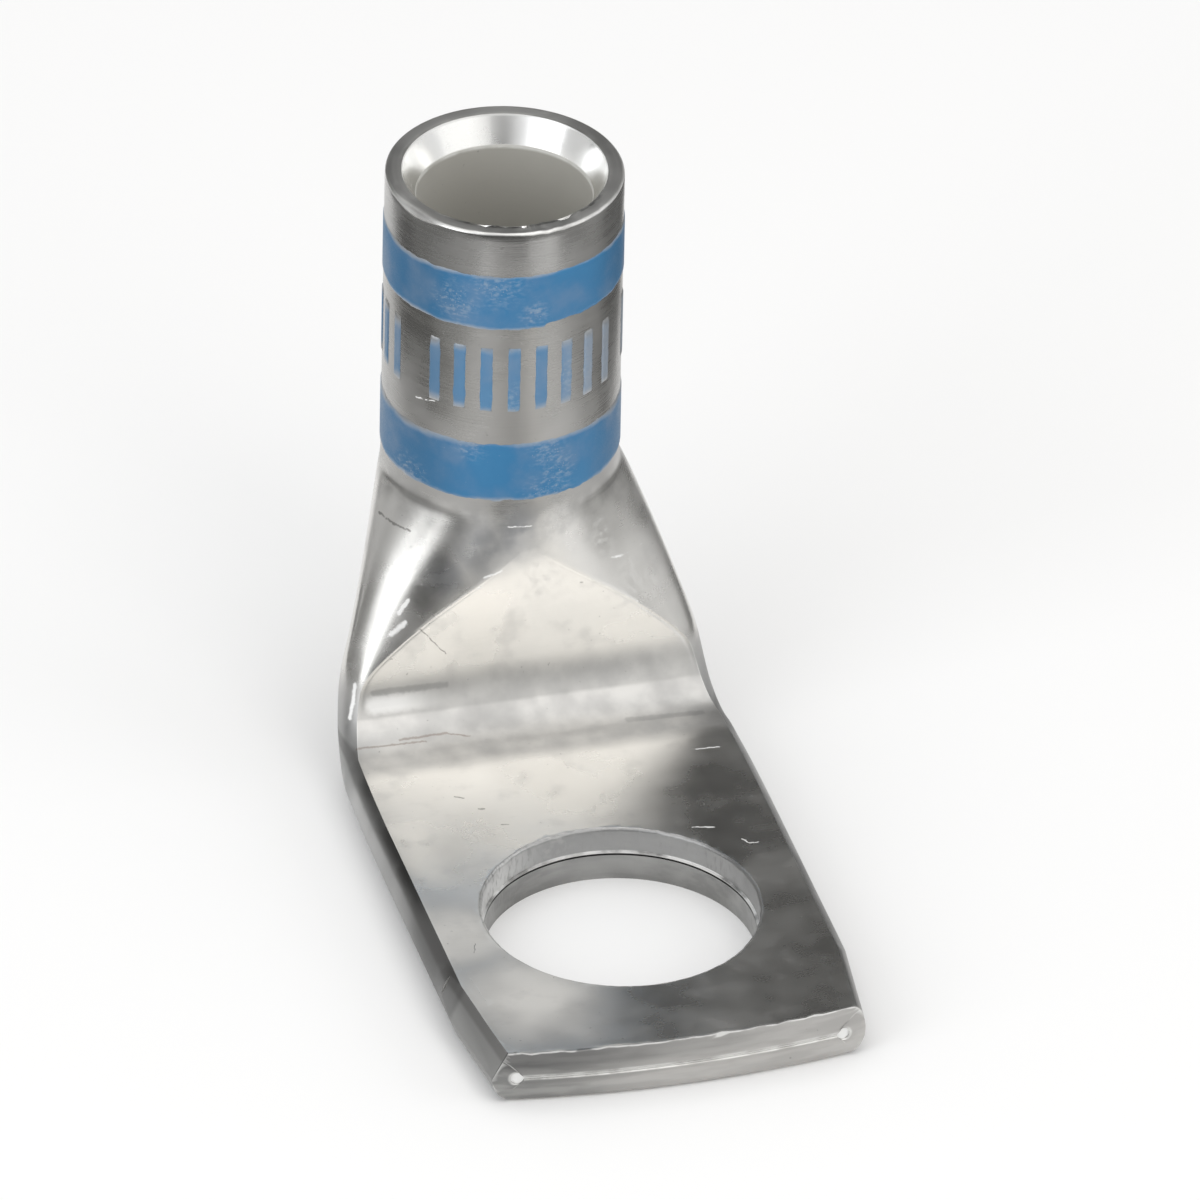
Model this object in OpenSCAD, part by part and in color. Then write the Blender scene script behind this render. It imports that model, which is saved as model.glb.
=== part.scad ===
// One-hole copper cable lug with its barrel at a right angle to its tongue.
// It is one length of tube: the barrel stays round for the conductor, and the rest is
// pressed flat, folded forward and punched for a stud.
// The origin is the centre of the stud hole on the mounting face. The tongue lies along Y
// with its tip towards -Y, and the barrel stands up along Z behind it.

/* [Barrel] */
// Outside diameter of the tube
barrel_od = 7.38; // [6.8:0.02:8]
// Bore that takes the stripped conductor
bore_d = 5.44; // [4.8:0.02:5.8]
// Height at which the tube stops being round
neck_z = 8.95; // [8:0.05:9.8]
// Length of the round barrel, from there to the mouth
barrel_len = 10.4; // [9:0.1:16]
// Distance from the stud hole to the axis of the barrel
barrel_y = 14.85; // [14.4:0.05:18]
// Diameter of the lead-in at the rim
lead_in_d = 6.37; // [5.9:0.01:6.6]
// Depth of the lead-in
lead_in_depth = 0.9; // [0.3:0.05:1.6]
// Broken corner round the outside of the rim
rim_break = 0.1; // [0.04:0.01:0.15]

/* [Neck and bend] */
// Inside radius of the bend
bend_r = 1.5; // [1:0.02:2]
// Width over the folds where the bend begins
bend_start_w = 11.4; // [10:0.1:12]
// Width over the folds where the bend ends
bend_end_w = 12.4; // [11.4:0.1:12.6]
// Depth to which the die pressed its flat face into the front of the neck and the tongue
press_depth = 0.17; // [0.1:0.01:0.26]

/* [Tongue] */
// Width over the folds
tongue_w = 12.6; // [12:0.1:14]
// Thickness of the two walls pressed together
tongue_t = 1.79; // [1.5:0.01:2.1]
// Gap left between the two pressed walls
seam_gap = 0.06; // [0.04:0.01:0.12]
// Diameter of the channel left inside each fold
channel_d = 0.4; // [0.2:0.02:0.5]
// Wall left outside that channel at the tip
fold_wall = 0.55; // [0.4:0.01:0.7]
// Distance from the stud hole to where the tongue reaches its full width
full_w_y = 5.4; // [5.1:0.1:7]

/* [Tip] */
// Distance from the stud hole to the middle of the tip
tip_y = 7.42; // [6:0.01:9]
// Width across the tip
tip_w = 11.8; // [11.2:0.1:12]
// Length of the pinched corners
corner_len = 3.6; // [2:0.1:5]
// How far the tip bows out in the middle
tip_bow = 0.52; // [0.1:0.01:0.9]
// Width of the slanting facet on the upper half of a pinched corner
facet_w = 0.45; // [0.2:0.05:0.6]
// Radius of the lower half of a pinched corner
corner_r = 0.85; // [0.6:0.01:0.85]
// Radius rolled on the lower edge of the tip
tip_roll = 0.28; // [0.1:0.02:0.5]

/* [Stud hole] */
// Diameter of the stud hole
stud_d = 8.4; // [6.4:0.1:9]
// Radius dragged round the upper edge of the stud hole
stud_edge = 0.12; // [0.04:0.01:0.2]

/* [Colour code] */
// Thickness of the ink
ink_t = 0.03; // [0.02:0.01:0.08]
// Distance from the mouth to the upper band
upper_band_gap = 1.51; // [0.8:0.01:1.8]
// Height of the upper band
upper_band_h = 2.02; // [1:0.01:2.3]
// Distance from the neck to the lower band
lower_band_gap = 0.59; // [0.2:0.01:0.9]
// Height of the lower band
lower_band_h = 2.19; // [1:0.01:2.4]
// Space between the upper band and the marks
mark_gap_above = 0.62; // [0.3:0.01:1]
// Space between the marks and the lower band
mark_gap_below = 1.12; // [0.3:0.01:1.3]
// Width of each upright stroke
stroke_w = 0.42; // [0.3:0.01:0.5]
// Space between the two strokes of a mark
stroke_gap = 0.44; // [0.3:0.01:0.6]
// Groups of marks round the barrel
mark_groups = 3; // [2:1:3]
// Marks in each group
marks_per_group = 4; // [2:1:4]

/* [Hidden] */
$fn = 96;
tin = [0.77, 0.77, 0.75];
ink = [0.2, 0.45, 0.68];

mouth_z = neck_z + barrel_len;
barrel_r = barrel_od/2;
bore_r = bore_d/2;
stud_r = stud_d/2;
channel_r = channel_d/2;
// Thickness of the folds before the die pressed its flat face into their upper side
fold_t = tongue_t + press_depth;
fold_r = fold_t/2;
seam_z = tongue_t/2;
// The pressed part of the tube is flush with the front of the barrel.
front_y = barrel_y - barrel_r;
bend_top_z = fold_t + bend_r;
bend_end_y = front_y - bend_r;
tip_side_y = tip_y - tip_bow;
tip_arc_r = (pow(tip_w/2, 2) + pow(tip_bow, 2))/(2*tip_bow);
channel_x = tip_w/2 - fold_wall - channel_r;
// The pressed shell is drawn a hair inside the barrel and the tongue, and runs into both.
skin = 0.005;
lap = 0.2;
// The facets of its channels stand this far off the round channels that they run into.
channel_relief = 0.015;
// Clear distance by which a cutting shape passes the face that it cuts
pass = 1;

function mix(a, b, k) = a + (b - a)*k;
function ease(k) = let (c = min(1, max(0, k))) c*c*(3 - 2*c);

// A station is one cross-section of the pressed tube:
// [front line as y and z, way inwards as y and z, half width, half thickness,
//  half length of the flat, depth of the die mark, how far it is flattened].
neck_steps = 18;
bend_steps = 12;
blend_steps = 4;
widening = 0.88;
flattening = 1.31;
// The die mark starts and reaches its full depth at these shares of the neck.
press_from = 0.2;
press_full = 0.75;

function neck_station(k, rise = 0) =
    let (f = 1 - pow(1 - k, flattening))
    let (half_w = mix(barrel_r, bend_start_w/2, pow(k, widening)))
    let (half_t = mix(barrel_r, fold_r, f))
    [[front_y, mix(neck_z, bend_top_z, k) + rise], [1, 0], half_w, half_t,
        f*f*(half_w - half_t), press_depth*ease((k - press_from)/(press_full - press_from)), f];

function bend_station(k) =
    let (a = 90*k, half_w = mix(bend_start_w, bend_end_w, k)/2)
    [[front_y - bend_r*(1 - cos(a)), bend_top_z - bend_r*sin(a)], [cos(a), -sin(a)],
        half_w, fold_r, half_w - fold_r, press_depth, 1];

function blend_station(k, run = 0) =
    let (half_w = mix(tongue_w, bend_end_w, pow(1 - k, 2))/2)
    [[mix(bend_end_y, full_w_y, k) - run, fold_t], [0, -1], half_w, fold_r,
        half_w - fold_r, press_depth, 1];

stations = concat(
    [neck_station(0, lap)],
    [for (i = [0:neck_steps]) neck_station(i/neck_steps)],
    [for (i = [1:bend_steps]) bend_station(i/bend_steps)],
    [for (i = [1:blend_steps]) blend_station(i/blend_steps)],
    [blend_station(1, lap)]);

// Point of a station, u across it and v inwards from its front line
function place(s, u, v) = [u, s[0][0] + v*s[1][0], s[0][1] + v*s[1][1]];

// Half an outline is a side, a flat and the other side. Each of its points is [u, c], where
// c is 1 at the outermost point of a side and 0 on the flat. The side ends at c = edge.
side_steps = 8;
flat_steps = 8;
least_edge = 0.12;

function half_outline(flat, side, edge) =
    let (turn = acos(edge), reach = flat + side*edge)
    concat(
        [for (i = [0:side_steps - 1]) let (c = cos(turn*i/side_steps)) [-flat - side*c, c]],
        [for (i = [0:flat_steps]) let (u = mix(-reach, reach, i/flat_steps))
            [u, max(0, abs(u) - flat)/side]],
        [for (i = [side_steps - 1:-1:1]) let (c = cos(turn*i/side_steps))
            [flat + side*c, c]]);

// How far a half outline falls from its flat, as a share of the radius of the side
function fall(c) = 1 - sqrt(max(0, 1 - c*c));

// Where the die mark ends on a side. Its edge is a row of points, so it stays sharp.
function die_edge(depth, radius) = max(least_edge, sqrt(1 - pow(1 - depth/radius, 2)));

function outer_ring(s) =
    let (radius = s[3] - skin, side = s[2] - skin - s[4])
    concat(
        [for (p = half_outline(s[4], side, die_edge(s[5], radius)))
            place(s, p[0], skin + max(radius*fall(p[1]), s[5]))],
        [for (p = half_outline(s[4], side, least_edge))
            place(s, -p[0], 2*s[3] - skin - radius*fall(p[1]))]);

// Inside, the bore closes to a thin seam with a channel left in each fold.
function inner_ring(s) =
    let (f = s[6], wall = mix(barrel_r - bore_r, tongue_w/2 - channel_x - channel_r, f))
    let (half_w = s[2] - wall + skin, radius = mix(bore_r, seam_gap/2, f) + skin)
    let (channel = channel_r + channel_relief, flat = f*(half_w - max(radius, 2*channel)))
    let (middle = s[3] + s[5]/2)
    let (half = [for (p = half_outline(flat, half_w - flat, least_edge))
        [p[0], max(radius*(1 - fall(p[1])), f*channel*(1 - fall(2*p[1] - 1)))]])
    concat(
        [for (p = half) place(s, p[0], middle - p[1])],
        [for (p = half) place(s, -p[0], middle + p[1])]);

// Closed wall through a loop of rings, which go down its outside and back up its inside
module swept_wall(rings) {
    n = len(rings[0]);
    count = len(rings);
    faces = [for (i = [0:count - 1]) for (j = [0:n - 1])
        let (a = i*n + j, b = i*n + (j + 1)%n)
        let (c = (i + 1)%count*n + j, d = (i + 1)%count*n + (j + 1)%n)
        for (t = [[a, b, c], [b, d, c]]) t];
    polyhedron([for (r = rings) for (p = r) p], faces);
}

module pressed_wall() {
    last = len(stations) - 1;
    swept_wall(concat([for (s = stations) outer_ring(s)],
        [for (i = [last:-1:0]) inner_ring(stations[i])]));
}

// The lead-in keeps its slope above the rim, so that it cuts cleanly through it.
module barrel() {
    lead_in_r = lead_in_d/2;
    flare = (lead_in_r - bore_r)/lead_in_depth;
    translate([0, barrel_y, 0]) difference() {
        rotate_extrude() polygon([[0, neck_z], [barrel_r, neck_z],
            [barrel_r, mouth_z - rim_break], [barrel_r - rim_break, mouth_z], [0, mouth_z]]);
        rotate_extrude() polygon([[0, neck_z - pass], [bore_r, neck_z - pass],
            [bore_r, mouth_z - lead_in_depth], [lead_in_r + flare*pass, mouth_z + pass],
            [0, mouth_z + pass]]);
    }
}

// Extrudes a section, drawn as x and z, forward from where the tongue has its full width
module along_tongue(from, to) {
    translate([0, from, 0]) rotate([90, 0, 0]) linear_extrude(from - to) children();
}

module fold_section() {
    fold_x = tongue_w/2 - fold_r;
    die_x = fold_x + sqrt(fold_r*fold_r - pow(fold_r - press_depth, 2));
    difference() {
        union() {
            translate([-fold_x, 0]) square([2*fold_x, fold_t]);
            for (x = [-fold_x, fold_x]) translate([x, fold_r]) circle(fold_r);
        }
        translate([-die_x, tongue_t]) square([2*die_x, pass]);
    }
}

// Seam between the pressed walls, with the channel that each fold keeps
module seam_section() {
    translate([-channel_x, seam_z - seam_gap/2]) square([2*channel_x, seam_gap]);
    for (x = [-channel_x, channel_x]) translate([x, seam_z]) circle(channel_r, $fn = 24);
}

// A pinched corner tapers towards the tip. It has a slanting facet above and is round below.
corner_steps = 8;

module corner_cut() {
    taper = (tongue_w - tip_w)/2;
    translate([tongue_w/2, corner_len - tip_side_y, 0]) rotate([90, 0, -atan(taper/corner_len)])
        translate([0, 0, -pass]) linear_extrude(corner_len + taper + 2*pass) difference() {
            translate([-corner_r, -pass]) square([corner_r + taper + pass, tongue_t + 2*pass]);
            polygon(concat(
                [for (i = [0:corner_steps]) let (turn = 90*i/corner_steps)
                    [corner_r*(sin(turn) - 1), corner_r*(1 - cos(turn))]],
                [[-facet_w, tongue_t], [-corner_r, tongue_t]]));
        }
}

// The tool that cropped the tube rolled the lower edge of the tip.
module tip_roll_cut() {
    translate([0, tip_arc_r - tip_y, 0]) rotate_extrude($fn = 360) difference() {
        translate([tip_arc_r - tip_roll, -pass]) square([tip_roll + pass, tip_roll + pass]);
        translate([tip_arc_r - tip_roll, tip_roll]) circle(tip_roll);
    }
}

module tongue() {
    difference() {
        intersection() {
            along_tongue(full_w_y, -tip_y - pass) fold_section();
            translate([0, tip_arc_r - tip_y, -pass])
                cylinder(r = tip_arc_r, h = fold_t + 2*pass, $fn = 360);
        }
        along_tongue(full_w_y + pass, -tip_y - pass) seam_section();
        tip_roll_cut();
        corner_cut();
        mirror([1, 0, 0]) corner_cut();
    }
}

module stud_hole() {
    translate([0, 0, -pass]) cylinder(r = stud_r, h = fold_t + 2*pass);
    rotate_extrude() difference() {
        translate([stud_r - pass, tongue_t - stud_edge])
            square([stud_edge + pass, stud_edge + pass]);
        translate([stud_r + stud_edge, tongue_t - stud_edge]) circle(stud_edge);
    }
}

module lug() {
    color(tin) difference() {
        union() {
            barrel();
            pressed_wall();
            tongue();
        }
        stud_hole();
    }
}

// Ink on the barrel, from a height upwards and over an angle
module ink_film(z, h, from, turn) {
    translate([0, barrel_y, z]) rotate([0, 0, from]) rotate_extrude(angle = turn)
        translate([barrel_r, 0]) square([ink_t, h]);
}

upper_band_z = mouth_z - upper_band_gap - upper_band_h;
lower_band_z = neck_z + lower_band_gap;
mark_z = lower_band_z + lower_band_h + mark_gap_below;
mark_h = upper_band_z - mark_gap_above - mark_z;

module upper_ink_band() { color(ink) ink_film(upper_band_z, upper_band_h, 0, 360); }

module lower_ink_band() { color(ink) ink_film(lower_band_z, lower_band_h, 0, 360); }

// Marks between the bands, each a pair of upright strokes. The groups are half a pitch
// further apart than the marks in them, and one group faces the front left.
group_angle = -92.5;
group_space_ratio = 1.5;
full_turn = 360;

module ink_marks() {
    pitch_angle = full_turn/mark_groups/(marks_per_group - 1 + group_space_ratio);
    stroke_turn = stroke_w/barrel_r*180/PI;
    stroke_pitch = (stroke_w + stroke_gap)/barrel_r*180/PI;
    color(ink) for (g = [0:mark_groups - 1]) for (m = [0:marks_per_group - 1])
        for (side = [-0.5, 0.5])
            ink_film(mark_z, mark_h, group_angle + full_turn*g/mark_groups
                + pitch_angle*(m - (marks_per_group - 1)/2) + stroke_pitch*side - stroke_turn/2,
                stroke_turn);
}

lug();
upper_ink_band();
lower_ink_band();
ink_marks();
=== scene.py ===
import math

import bpy
import numpy as np
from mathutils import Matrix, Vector, noise


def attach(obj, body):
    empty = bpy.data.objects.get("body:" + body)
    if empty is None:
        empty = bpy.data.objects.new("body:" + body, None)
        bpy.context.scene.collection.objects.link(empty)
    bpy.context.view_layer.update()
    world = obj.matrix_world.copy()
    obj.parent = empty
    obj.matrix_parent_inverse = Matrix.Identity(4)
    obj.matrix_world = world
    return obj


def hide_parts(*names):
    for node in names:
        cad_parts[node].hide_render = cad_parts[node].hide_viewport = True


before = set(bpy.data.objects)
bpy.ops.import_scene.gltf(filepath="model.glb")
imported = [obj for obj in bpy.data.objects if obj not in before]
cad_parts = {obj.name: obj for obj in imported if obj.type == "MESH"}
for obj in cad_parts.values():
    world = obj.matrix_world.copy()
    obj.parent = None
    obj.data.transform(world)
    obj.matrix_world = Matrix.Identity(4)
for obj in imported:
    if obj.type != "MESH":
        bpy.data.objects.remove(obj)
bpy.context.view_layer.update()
mm = 0.001


# The camera looks down at the front of the lug from its left, through a long lens, and is
# rolled a little. The sizes are the photograph's own angles and the width that it takes in.
view_angle = math.radians(-15.75)
view_height = math.radians(33.49)
view_roll = math.radians(-1.19)
view_width = 36.81*mm
view_distance = 1.0
view_centre = (-0.61*mm, 10.88*mm)

away = Vector((math.sin(view_angle)*math.cos(view_height),
               -math.cos(view_angle)*math.cos(view_height), math.sin(view_height)))
across = Vector((math.cos(view_angle), math.sin(view_angle), 0))
upward = away.cross(across)
picture_x = across*math.cos(view_roll) - upward*math.sin(view_roll)
picture_y = across*math.sin(view_roll) + upward*math.cos(view_roll)
bpy.ops.object.camera_add()
camera = bpy.context.object
camera.name = "camera"
camera.data.sensor_width = 36
camera.data.lens = camera.data.sensor_width*view_distance/view_width
camera.data.clip_start = 0.1
camera.data.clip_end = 20
turned = camera.matrix_world.to_3x3()
turned.col[0], turned.col[1], turned.col[2] = picture_x, picture_y, away
camera.matrix_world = turned.to_4x4()
camera.location = away*view_distance + picture_x*view_centre[0] + picture_y*view_centre[1]
bpy.context.scene.camera = camera


# The lug is one length of drawn copper tube. The barrel end stays round and has a lead-in
# for the wire. The rest is pressed flat in a die, which leaves its flat face in the front,
# folded forward, cropped at the tip, pinched at its corners and punched for the stud.
barrel_r = 3.69*mm
bore_r = 2.72*mm
barrel_y = 14.85*mm
neck_z = 8.95*mm
mouth_z = 19.35*mm
lead_in_r = 3.185*mm
lead_in_depth = 0.9*mm
rim_break = 0.1*mm
bend_r = 1.5*mm
bend_start_w = 11.4*mm
bend_end_w = 12.4*mm
press_depth = 0.17*mm
tongue_w = 12.6*mm
tongue_t = 1.79*mm
full_w_y = 5.4*mm
tip_y = 7.42*mm
tip_w = 11.8*mm
tip_bow = 0.52*mm
tip_roll = 0.28*mm
groove_w = 0.09*mm
groove_depth = 0.01*mm
seam_gap = 0.06*mm
channel_r = 0.2*mm
channel_x = 5.15*mm
fold_t = tongue_t + press_depth
fold_r = fold_t/2
seam_z = tongue_t/2
front_y = barrel_y - barrel_r
bend_top_z = fold_t + bend_r
bend_end_y = front_y - bend_r
tip_arc_r = ((tip_w/2)**2 + tip_bow**2)/(2*tip_bow)


def mix(a, b, k):
    return a + (b - a)*k


def ease(k):
    k = min(1, max(0, k))
    return k*k*(3 - 2*k)


# A station is one cross-section of the pressed tube: its front line, the way inwards, its
# half width and half thickness, half of its flat, and how deep and how far it is pressed.
def neck_station(k):
    flat = 1 - (1 - k)**1.31
    half_w = mix(barrel_r, bend_start_w/2, k**0.88)
    half_t = mix(barrel_r, fold_r, flat)
    return dict(front=(front_y, mix(neck_z, bend_top_z, k)), way=(1, 0), half_w=half_w,
                half_t=half_t, flat=flat*flat*(half_w - half_t),
                depth=press_depth*ease((k - 0.2)/0.55), pressed=flat)


def bend_station(k):
    turn = math.pi/2*k
    half_w = mix(bend_start_w, bend_end_w, k)/2
    front = (front_y - bend_r*(1 - math.cos(turn)), bend_top_z - bend_r*math.sin(turn))
    return dict(front=front, way=(math.cos(turn), -math.sin(turn)), half_w=half_w,
                half_t=fold_r, flat=half_w - fold_r, depth=press_depth, pressed=1)


def tongue_station(k, y):
    half_w = mix(tongue_w, bend_end_w, (1 - k)**2)/2
    return dict(front=(y, fold_t), way=(0, -1), half_w=half_w, half_t=fold_r,
                flat=half_w - fold_r, depth=press_depth, pressed=1)


# A section's round side runs inwards until c has fallen to arc_end. Points crowd at the edge
# of the pressed flat, which is the sharpest line of the part.
arc_end = 0.12
side_steps = 22
flat_steps = 36
edge_steps = np.array([0, 0.03, 0.06, 0.1, 0.14, 0.19, 0.26, 0.36, 0.5])*mm


def half_outline(flat, side, edge):
    """Points u across half a section, with c, which is 1 at the side and 0 on the flat."""
    turn = math.acos(edge)*np.arange(side_steps)/side_steps
    c = np.cos(turn)
    reach = flat + side*edge
    near_edge = reach - edge_steps*min(1, reach/mm)
    flat_u = np.linspace(-near_edge[-1], near_edge[-1], flat_steps + 1)[1:-1]
    u = np.concatenate([-near_edge, flat_u, near_edge[::-1]])
    c_flat = np.maximum(0, np.abs(u) - flat)/side
    return (np.concatenate([-flat - side*c, u, flat + side*c[:0:-1]]),
            np.concatenate([c, c_flat, c[:0:-1]]))


def fall(c):
    return 1 - np.sqrt(np.maximum(0, 1 - c*c))


def place(station, u, v):
    (y, z), (in_y, in_z) = station["front"], station["way"]
    return np.stack([u, y + v*in_y, z + v*in_z], 1)


def outer_ring(station):
    radius = station["half_t"]
    side = station["half_w"] - station["flat"]
    edge = max(arc_end, math.sqrt(1 - (1 - station["depth"]/radius)**2))
    u, c = half_outline(station["flat"], side, edge)
    reach = station["flat"] + side*edge
    inwards = reach - np.abs(u)
    cut = station["depth"]/press_depth*(1 + station["way"][1])
    groove = groove_depth*cut*np.exp(-((inwards/groove_w - 1)/0.6)**2)
    front = place(station, u, np.maximum(radius*fall(c), station["depth"])
                  + np.where(inwards > 0, groove, 0))
    u, c = half_outline(station["flat"], side, arc_end)
    rear = place(station, -u, 2*radius - radius*fall(c))
    return np.concatenate([front, rear])


def inner_ring(station):
    pressed = station["pressed"]
    wall = mix(barrel_r - bore_r, tongue_w/2 - channel_x - channel_r, pressed)
    half_w = station["half_w"] - wall
    radius = mix(bore_r, seam_gap/2, pressed)
    flat = pressed*(half_w - max(radius, 2*channel_r))
    middle = station["half_t"] + station["depth"]/2
    u, c = half_outline(flat, half_w - flat, arc_end)
    channel = pressed*channel_r*(1 - fall(2*c - 1))
    opening = np.maximum(radius*(1 - fall(c)), channel)
    return np.concatenate([place(station, u, middle - opening),
                           place(station, -u, middle + opening)])


def round_ring(z, radius):
    u, c = half_outline(0, radius, arc_end)
    reach = radius*(1 - fall(c))
    fore = np.stack([u, barrel_y - reach, 0*u + z], 1)
    aft = np.stack([-u, barrel_y + reach, 0*u + z], 1)
    return np.concatenate([fore, aft])


def rough(points, size, seed):
    """Smooth noise from -1 to 1 at each point, with a grain of the given size."""
    shift = Vector((seed*7.3, seed*3.1, seed*5.7))
    return np.array([noise.noise(Vector(p)/size + shift) for p in points])


# The saw left burrs and nicks along the front of the mouth's rim, and a knock has flattened
# the rim at the left. A knock is placed by its turn from the front, towards the right.
rim_burr_h = 0.035*mm
rim_nick = 0.2*mm
knock_turn = -1.12
knock_reach = 0.2
knock_depth = 1.6


def rim_ring(drop, inset, radius, ragged=0):
    ring = round_ring(mouth_z, radius)
    way = ring[:, :2] - (0, barrel_y)
    front = np.clip(-way[:, 1]/radius, 0, 1)
    from_knock = np.arctan2(way[:, 0], -way[:, 1]) - knock_turn
    knock = 1 + knock_depth*np.exp(-(from_knock/knock_reach)**2)
    burr = rim_burr_h*front**2*rough(ring, 0.35*mm, 1)
    burr += ragged*front**2*np.abs(rough(ring, 0.17*mm, 8))
    ring[:, 2] -= drop*knock + np.maximum(burr, -0.015*mm)
    ring[:, :2] -= way/radius*(inset*knock)[:, None]
    return ring


def tip_line(x):
    return tip_arc_r - tip_y - np.sqrt(tip_arc_r**2 - x*x)


def tongue_ring(d, inside=False):
    """A ring at a distance behind the tip. Its rows follow the bowed tip line."""
    station = tongue_station(1, 0)
    ring = inner_ring(station) if inside else outer_ring(station)
    run = d/(full_w_y + tip_y)
    ring[:, 1] = mix(tip_line(ring[:, 0]), full_w_y, run)
    if not inside and d < tip_roll:
        rolled = tip_roll - math.sqrt(tip_roll**2 - (tip_roll - d)**2)
        ring[:, 2] = np.maximum(ring[:, 2], rolled)
    return ring


tip_rows = [0, 0.02, 0.05, 0.09, 0.14, 0.2, 0.28, 0.4, 0.6, 0.85]
tongue_rows = [row*mm for row in tip_rows] + list(np.linspace(1.15*mm, full_w_y + tip_y, 60))
rings = [tongue_ring(d) for d in tongue_rows]
for k in np.linspace(1, 0, 21)[1:]:
    rings.append(outer_ring(tongue_station(k, mix(bend_end_y, full_w_y, k))))
for k in np.linspace(1, 0, 41)[1:]:
    rings.append(outer_ring(bend_station(k)))
neck_row = len(rings)
for k in np.linspace(1, 0, 91)[1:]:
    rings.append(outer_ring(neck_station(k)))
barrel_row = len(rings)
for rise in (0.06, 0.12, 0.19, 0.27, 0.37, 0.5, 0.7, 1, 1.5, 2.2, 3.2, 4.5, 6, 7.5, 9, 10.1):
    rings.append(round_ring(neck_z + rise*mm, barrel_r))
for turn in np.radians([0, 22, 45, 68, 90]):
    drop, inset = rim_break*(1 - math.sin(turn)), rim_break*(1 - math.cos(turn))
    rings.append(rim_ring(drop, inset, barrel_r))
rings.append(rim_ring(0, 0, mix(barrel_r - rim_break, lead_in_r, 0.6)))
rings.append(rim_ring(0, 0, lead_in_r, ragged=rim_nick))
for k in (0.06, 0.35, 0.65, 0.95, 1):
    rings.append(round_ring(mouth_z - lead_in_depth*k, mix(lead_in_r, bore_r, k)))
for z in np.linspace(mouth_z - lead_in_depth - 0.1*mm, neck_z, 8):
    rings.append(round_ring(z, bore_r))
for k in np.linspace(0, 1, 31)[1:]:
    rings.append(inner_ring(neck_station(k)))
for k in np.linspace(0, 1, 13)[1:]:
    rings.append(inner_ring(bend_station(k)))
for k in np.linspace(0, 1, 5)[1:]:
    rings.append(inner_ring(tongue_station(k, mix(bend_end_y, full_w_y, k))))
for d in np.linspace(full_w_y + tip_y, 0, 12)[1:]:
    rings.append(tongue_ring(d, inside=True))

# The cropped end has a lip along the seam and a shallow hollow in each wall.
end_hollow = 0.035*mm
end_lip = 0.03*mm
seam_ring, tip_ring = rings[-1], rings[0]
for k in (0.05, 0.12, 0.22, 0.4, 0.6, 0.8, 0.92, 1):
    ring = mix(seam_ring, tip_ring, k)
    ring[:, 1] += end_hollow*math.sin(math.pi*k)**2 - end_lip*math.exp(-((k - 0.08)/0.06)**2)
    rings.append(ring if k < 1 else tip_ring)

# The press leaves no crease where the neck meets the bend and the barrel, so each stretch of
# rows there is evened out as many times as its third number says.
wall_points = np.array(rings)
evened = ((neck_row - 18, neck_row + 32, 60), (barrel_row - 14, barrel_row + 6, 10))
for first, last, times in evened:
    for _ in range(times):
        wall_points[first:last] = (wall_points[first - 1:last - 1] + 2*wall_points[first:last]
                                   + wall_points[first + 1:last + 1])/4

# No pressed wall is quite even, so the metal wavers a little under the die and the bender,
# most of all in the bend. The bender's edge left a shallow dent across its foot.
waver_h = 0.011*mm
fine_waver_h = 0.004*mm
dent_depth = 0.012*mm
dent_y = 9.1*mm
bend_y = 10.2*mm
spots = wall_points.reshape(-1, 3)
spot_x, spot_y, spot_z = spots.T
in_bend = np.exp(-((spot_y - bend_y)/(1.1*mm))**2)*(spot_z < 4*mm)
waver = waver_h*rough(spots, 2.1*mm, 4) + fine_waver_h*rough(spots, 0.8*mm, 5)
waver *= 1 + 0.6*in_bend
waver -= dent_depth*np.exp(-((spot_y - dent_y + 0.05*spot_x)/(0.3*mm))**2)
pressed_only = np.clip((neck_z + 1*mm - spot_z)/(2*mm), 0, 1)
off_the_tip = np.clip((spot_y - tip_line(spot_x))/(0.6*mm), 0, 1)
above_table = np.clip(spot_z/(0.6*mm) - 0.5, 0, 1)
waver *= pressed_only*off_the_tip*above_table
facing = np.zeros_like(spots)
facing[:, 2] = spot_y < bend_end_y
facing[:, 1] = -(spot_y >= bend_end_y).astype(float)
wall_points = (spots + facing*waver[:, None]).reshape(wall_points.shape)

# The wall is laid out as a flat grid, with a row for each ring, and rolled up to the rings.
# Its last row meets its first one at the tip, and its last column the first one.
weld = 0.0005*mm
columns = len(rings[0])
rows = len(rings) - 1
wall_points = np.concatenate([wall_points, wall_points[:, :1]], 1)
bpy.ops.object.select_all(action="DESELECT")
bpy.ops.mesh.primitive_grid_add(x_subdivisions=columns, y_subdivisions=rows, size=1)
lug = bpy.context.object
lug.name = "lug_body"
lug.data.vertices.foreach_set("co", wall_points.reshape(-1).astype(np.float32))
lug.data.update()

# The unwrapped wall: u runs round the tube and v along it, each at one size all over.
unwrap_u = 30*mm
unwrap_v = 120*mm
step_round = np.linalg.norm(np.diff(wall_points, axis=1), axis=2)
run_round = np.concatenate([np.zeros((rows + 1, 1)), np.cumsum(step_round, 1)], 1)
step_along = np.linalg.norm(np.diff(wall_points, axis=0), axis=2).mean(1)
run_along = np.concatenate([[0], np.cumsum(step_along)])
run_along = np.broadcast_to(run_along[:, None], run_round.shape)
unwrap = np.stack([run_round/unwrap_u, run_along/unwrap_v], 2).reshape(-1, 2)
corner = np.zeros(len(lug.data.loops), dtype=np.int32)
lug.data.loops.foreach_get("vertex_index", corner)
lug.data.uv_layers[0].data.foreach_set("uv", unwrap[corner].reshape(-1).astype(np.float32))
bpy.ops.object.mode_set(mode="EDIT")
bpy.ops.mesh.select_all(action="SELECT")
bpy.ops.mesh.remove_doubles(threshold=weld)
bpy.ops.mesh.normals_make_consistent(inside=False)
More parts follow.
